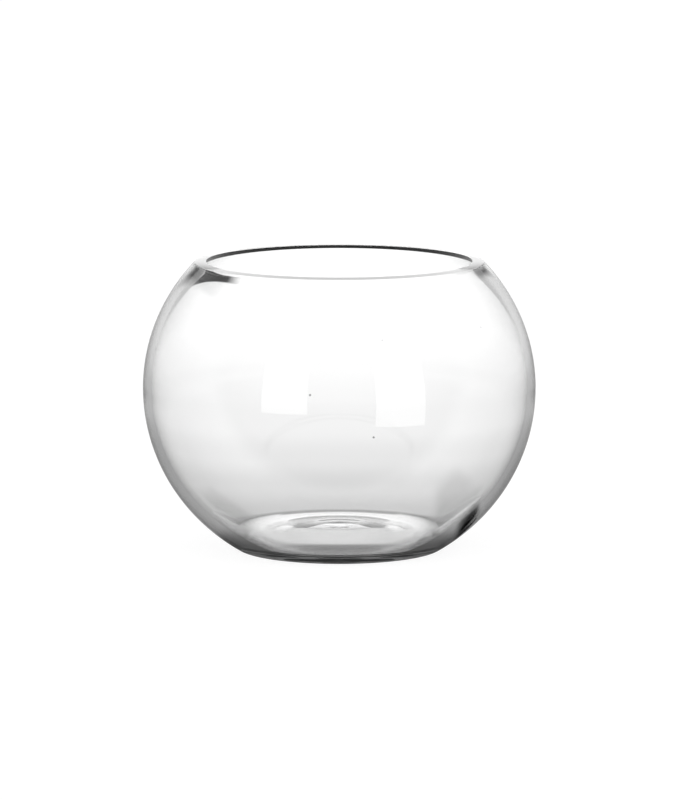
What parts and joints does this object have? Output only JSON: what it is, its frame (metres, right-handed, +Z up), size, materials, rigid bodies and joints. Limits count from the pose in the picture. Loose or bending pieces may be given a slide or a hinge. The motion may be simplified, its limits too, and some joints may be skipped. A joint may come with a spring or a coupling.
{
  "type": "glass bowl",
  "caption": "Round clear glass bowl, a flattened ball with a wide open mouth, a level lip with rounded edges and a rippled base that stands flat; holds water, flowers, fish or a candle.",
  "frame": {"origin": "centre of the ring that the bowl stands on, on the table's surface", "axes": "+Z up along the axis of the bowl; X and Y are any two level directions, because the bowl is round"},
  "size_m": [0.2, 0.2, 0.1475],
  "materials": {
    "clear_glass": "polished, clear and colourless"
  },
  "bodies": {
    "root": {"glass_bowl": "clear_glass"}
  },
  "joints": []
}
